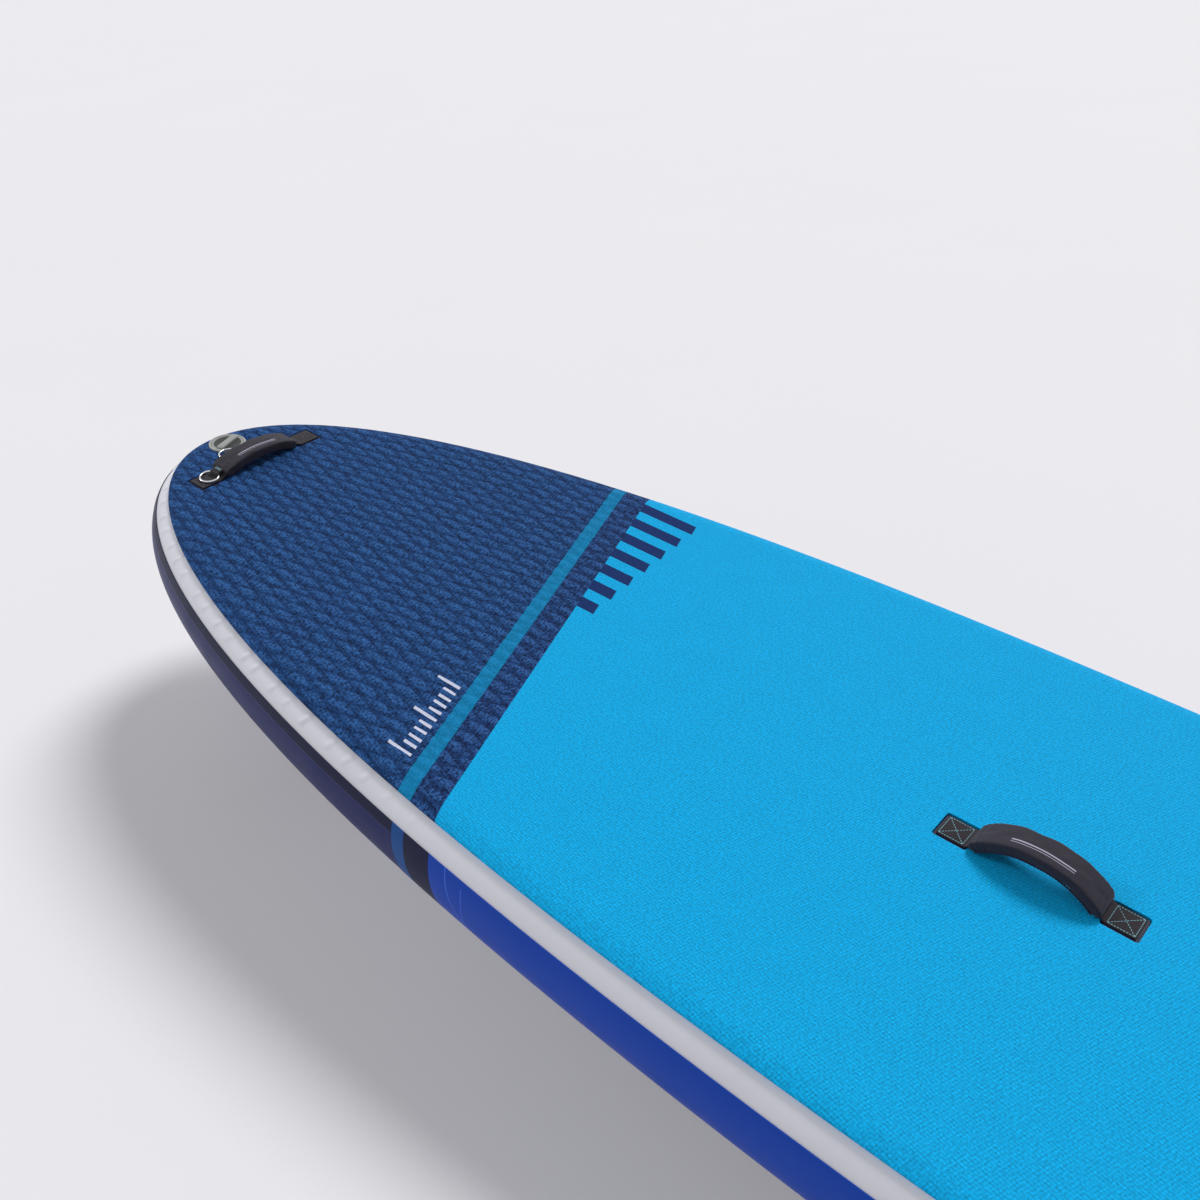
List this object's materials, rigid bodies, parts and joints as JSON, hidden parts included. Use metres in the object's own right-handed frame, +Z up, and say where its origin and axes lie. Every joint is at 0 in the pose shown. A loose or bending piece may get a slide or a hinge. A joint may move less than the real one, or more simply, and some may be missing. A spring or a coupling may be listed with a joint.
{
  "type": "inflatable stand-up paddleboard",
  "caption": "Inflatable stand-up paddleboard: soft deck pad with a slanted stripe, banded rails, padded carry handles, recessed air valve, rings and a slide-in fin.",
  "frame": {"origin": "centre of the flat bottom, midway along and across the board, on the hull's underside", "axes": "+X to the nose, +Y to the board's left, +Z up out of the deck"},
  "size_m": [3.251, 0.864, 0.494],
  "materials": {
    "white_pvc": "satin white coated fabric",
    "navy_pvc": "satin navy coated fabric",
    "navy_foam": "embossed foam, matte",
    "teal_foam": "embossed foam, matte",
    "dark_foam": "embossed foam, matte",
    "cyan_foam": "fine woven-look foam, matte",
    "base_cloth": "woven polyester",
    "webbing": "woven webbing",
    "grip_cloth": "padded neoprene sleeve",
    "valve_grey": "moulded, light grey",
    "valve_dark": "moulded, dark grey",
    "seal_rubber": "soft black",
    "stainless": "polished",
    "spring_steel": "plain",
    "fin_plastic": "moulded black",
    "fin_rubber": "flexible black"
  },
  "bodies": {
    "board": {"deck_skin_tail": "white_pvc", "deck_skin": "white_pvc", "deck_skin_nose": "white_pvc", "bottom_skin": "white_pvc", "inner_seam_tape": "base_cloth", "rail_band": "navy_pvc", "drop_stitch_core": "base_cloth", "tail_pad": "navy_foam", "pad_stripe": "teal_foam", "pad_band": "dark_foam", "main_pad": "cyan_foam", "valve_body": "valve_grey", "valve_gasket": "seal_rubber", "valve_nut": "valve_grey", "valve_guide": "valve_grey", "valve_spring": "spring_steel", "tail_handle_patch_a": "navy_pvc", "tail_handle_patch_b": "navy_pvc", "tail_handle_webbing": "webbing", "tail_handle_grip": "grip_cloth", "centre_handle_patch_a": "navy_pvc", "centre_handle_patch_b": "navy_pvc", "centre_handle_webbing": "webbing", "centre_handle_grip": "grip_cloth", "nose_handle_patch_a": "navy_pvc", "nose_handle_patch_b": "navy_pvc", "nose_handle_webbing": "webbing", "nose_handle_grip": "grip_cloth", "tail_handle_ring_loop": "webbing", "leash_patch": "navy_pvc", "leash_loop": "webbing", "lash_rear_left_patch": "navy_pvc", "lash_rear_left_loop": "webbing", "lash_rear_right_patch": "navy_pvc", "lash_rear_right_loop": "webbing", "lash_front_left_patch": "navy_pvc", "lash_front_left_loop": "webbing", "lash_front_right_patch": "navy_pvc", "lash_front_right_loop": "webbing", "fin_box_mound": "navy_pvc", "fin_box": "fin_plastic", "side_fin_patch_left": "navy_pvc", "side_fin_left": "fin_rubber", "side_fin_patch_right": "navy_pvc", "side_fin_right": "fin_rubber"},
    "tail_ring": {"tail_handle_ring": "stainless"},
    "leash_ring": {"leash_ring": "stainless"},
    "lash_rear_left": {"lash_rear_left_ring": "stainless"},
    "lash_rear_right": {"lash_rear_right_ring": "stainless"},
    "lash_front_left": {"lash_front_left_ring": "stainless"},
    "lash_front_right": {"lash_front_right_ring": "stainless"},
    "cap_seat": {"valve_cap_seal": "seal_rubber"},
    "cap": {"valve_cap": "valve_dark"},
    "stem": {"valve_stem": "valve_grey", "valve_seat_seal": "seal_rubber"},
    "fin": {"centre_fin": "fin_plastic", "fin_pin": "stainless", "fin_plate": "stainless"},
    "fin_thumb_screw": {"fin_screw": "fin_plastic"}
  },
  "joints": [
    {"name": "tail_ring_swing", "type": "hinge", "parent": "board", "child": "tail_ring", "pos_m": [-1.4779, -0.079, 0.1298], "axis": [-1, 0, 0], "range_deg": [0, 130]},
    {"name": "leash_ring_swing", "type": "hinge", "parent": "board", "child": "leash_ring", "pos_m": [-1.5065, -0.024, 0.1283], "axis": [0, 1, 0], "range_deg": [0, 100]},
    {"name": "lash_rear_left_swing", "type": "hinge", "parent": "board", "child": "lash_rear_left", "pos_m": [1.15467, 0.24033, 0.18398], "axis": [-0.9869, 0, -0.1613], "range_deg": [0, 165]},
    {"name": "lash_rear_right_swing", "type": "hinge", "parent": "board", "child": "lash_rear_right", "pos_m": [1.15467, -0.24033, 0.18398], "axis": [0.9869, 0, 0.1613], "range_deg": [0, 165]},
    {"name": "lash_front_left_swing", "type": "hinge", "parent": "board", "child": "lash_front_left", "pos_m": [1.28818, 0.14979, 0.20769], "axis": [-0.9816, 0, -0.1908], "range_deg": [0, 165]},
    {"name": "lash_front_right_swing", "type": "hinge", "parent": "board", "child": "lash_front_right", "pos_m": [1.28818, -0.14979, 0.20769], "axis": [0.9816, 0, 0.1908], "range_deg": [0, 165]},
    {"name": "valve_cap_lift", "type": "slide", "parent": "board", "child": "cap_seat", "axis": [0, 0, 1], "range_m": [0, 0.03]},
    {"name": "valve_cap_turn", "type": "hinge", "parent": "cap_seat", "child": "cap", "pos_m": [-1.5532, 0, 0.12], "axis": [0, 0, 1], "range_deg": [0, 90]},
    {"name": "valve_stem_push", "type": "slide", "parent": "board", "child": "stem", "axis": [0, 0, -1], "range_m": [0, 0.005], "stiffness_N_per_m": 500, "springref_m": -0.006, "deforming": ["valve_spring"]},
    {"name": "fin_slide", "type": "slide", "parent": "board", "child": "fin", "axis": [1, 0, 0], "range_m": [-0.045, 0.045]},
    {"name": "fin_screw_turn", "type": "hinge", "parent": "fin", "child": "fin_thumb_screw", "pos_m": [-1.202, 0, -0.028], "axis": [0, 0, -1], "range_deg": [0, 1080]}
  ]
}
